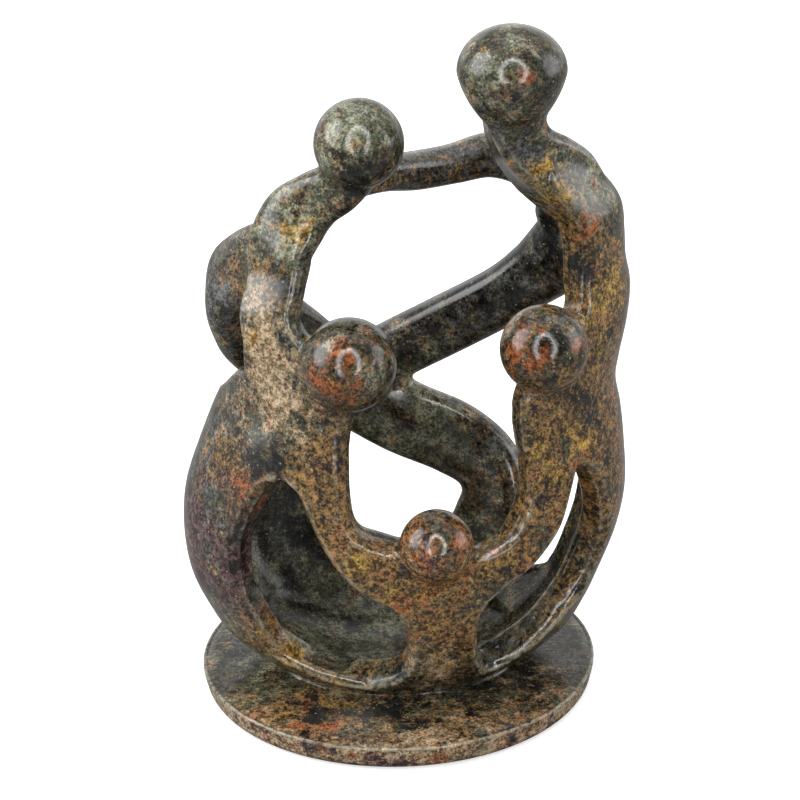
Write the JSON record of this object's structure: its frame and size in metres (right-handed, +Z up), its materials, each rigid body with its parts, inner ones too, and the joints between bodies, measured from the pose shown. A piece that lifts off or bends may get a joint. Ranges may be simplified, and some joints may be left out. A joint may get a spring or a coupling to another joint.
{
  "type": "family group sculpture",
  "caption": "Openwork carved stone family group: parents and children with round faceless heads, arms joined around an egg-shaped hollow, on a round disc base.",
  "frame": {"origin": "centre of the round base's flat underside", "axes": "+Z up, -Y towards the viewer at the front, +X to the viewer's right, on the side of the taller parent"},
  "size_m": [0.1671, 0.15, 0.2648],
  "materials": {
    "stone": "polished, mottled brown, ochre, green and grey"
  },
  "bodies": {
    "root": {"family_group": "stone"}
  },
  "joints": []
}
